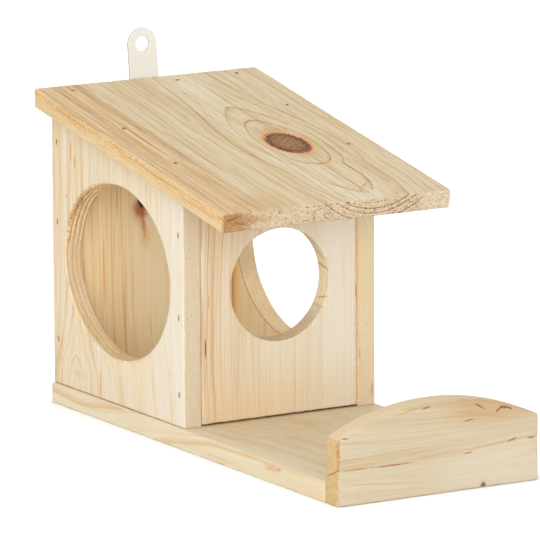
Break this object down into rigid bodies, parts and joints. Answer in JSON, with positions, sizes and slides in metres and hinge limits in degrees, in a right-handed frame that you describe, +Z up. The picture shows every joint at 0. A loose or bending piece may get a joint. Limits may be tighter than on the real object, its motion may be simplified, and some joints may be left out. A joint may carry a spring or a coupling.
{
  "type": "squirrel feeder box",
  "caption": "Softwood feeder house with a sloping roof, round front entrance, oval side windows, a long tray with an arched end board and a steel hanging strip.",
  "frame": {"origin": "middle of the feeder's bounding box in X and Y, at the height of its underside", "axes": "+Z up, -Y towards the tray's end board, +X to the right seen from the tray"},
  "size_m": [0.129, 0.2818, 0.1881],
  "materials": {
    "side_panel_wood": "bare planed fir, pale cream",
    "inner_panel_wood": "bare planed fir",
    "roof_wood": "bare planed fir with a knot",
    "base_wood": "bare planed fir",
    "end_board_wood": "bare sanded fir",
    "hanger_steel": "satin zinc plate",
    "brad_steel": "dull bright wire"
  },
  "bodies": {
    "root": {"left_side_panel": "side_panel_wood", "right_side_panel": "side_panel_wood", "front_panel": "inner_panel_wood", "back_panel": "inner_panel_wood", "roof_board": "roof_wood", "base_board": "base_wood", "tray_end_board": "end_board_wood", "hanger_strip": "hanger_steel", "upper_hanger_screw": "hanger_steel", "lower_hanger_screw": "hanger_steel", "left_front_brad_1": "brad_steel", "left_front_brad_2": "brad_steel", "left_front_brad_3": "brad_steel", "left_back_brad_1": "brad_steel", "left_back_brad_2": "brad_steel", "left_back_brad_3": "brad_steel", "right_front_brad_1": "brad_steel", "right_front_brad_2": "brad_steel", "right_front_brad_3": "brad_steel", "right_back_brad_1": "brad_steel", "right_back_brad_2": "brad_steel", "right_back_brad_3": "brad_steel", "roof_left_brad_1": "brad_steel", "roof_left_brad_2": "brad_steel", "roof_right_brad_1": "brad_steel", "roof_right_brad_2": "brad_steel", "roof_right_brad_3": "brad_steel", "roof_back_brad_1": "brad_steel", "roof_back_brad_2": "brad_steel", "base_left_brad_1": "brad_steel", "base_left_brad_2": "brad_steel", "base_right_brad_1": "brad_steel", "base_right_brad_2": "brad_steel", "base_back_brad_1": "brad_steel", "base_back_brad_2": "brad_steel"}
  },
  "joints": []
}
